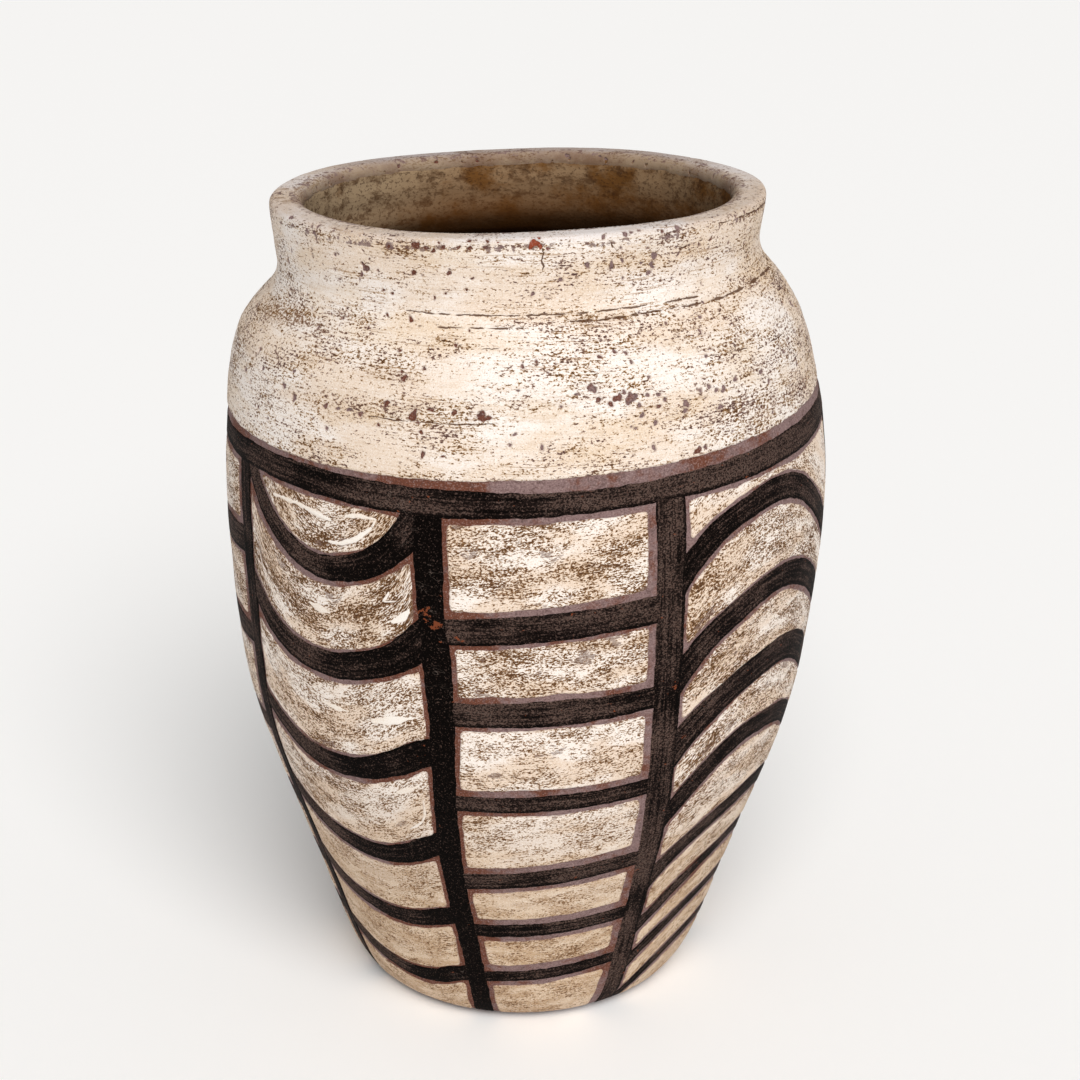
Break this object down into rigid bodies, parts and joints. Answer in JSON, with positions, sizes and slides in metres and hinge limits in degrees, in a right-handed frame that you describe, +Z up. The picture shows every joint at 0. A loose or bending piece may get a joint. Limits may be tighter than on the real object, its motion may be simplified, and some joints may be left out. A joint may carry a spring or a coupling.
{
  "type": "painted terracotta jar",
  "caption": "Wide-mouthed terracotta jar with a rounded lip, short neck and full shoulder, cream slip above a dark girdle and striped bays of ladders, swags and arches below.",
  "frame": {"origin": "middle of the resting face", "axes": "+Z up along the jar's axis, -Y is the front, +X to the right of a viewer in front"},
  "size_m": [0.293, 0.293, 0.4],
  "materials": {
    "clay": "matte unglazed terracotta",
    "cream_slip": "matte worn cream slip, streaked and pitted",
    "dark_slip": "burnished black-brown slip, streaked along the brush",
    "inner_slip": "matte stained slip wash"
  },
  "bodies": {
    "root": {"base_disc": "clay", "lower_wall": "clay", "belly_wall": "clay", "shoulder_wall": "clay", "neck_collar": "clay", "rim_ring": "clay", "neck_coat": "cream_slip", "shoulder_coat": "cream_slip", "ladder_panels_1": "cream_slip", "ladder_panels_2": "cream_slip", "ladder_panels_3": "cream_slip", "ladder_panels_4": "cream_slip", "swag_panels_1": "cream_slip", "swag_panels_2": "cream_slip", "arch_panels_1": "cream_slip", "arch_panels_2": "cream_slip", "girdle_band": "dark_slip", "bar_1": "dark_slip", "bar_2": "dark_slip", "bar_3": "dark_slip", "bar_4": "dark_slip", "bar_5": "dark_slip", "bar_6": "dark_slip", "bar_7": "dark_slip", "bar_8": "dark_slip", "ladder_rungs_1": "dark_slip", "ladder_rungs_2": "dark_slip", "ladder_rungs_3": "dark_slip", "ladder_rungs_4": "dark_slip", "swag_strokes_1": "dark_slip", "swag_strokes_2": "dark_slip", "arch_strokes_1": "dark_slip", "arch_strokes_2": "dark_slip", "inner_wash": "inner_slip"}
  },
  "joints": []
}
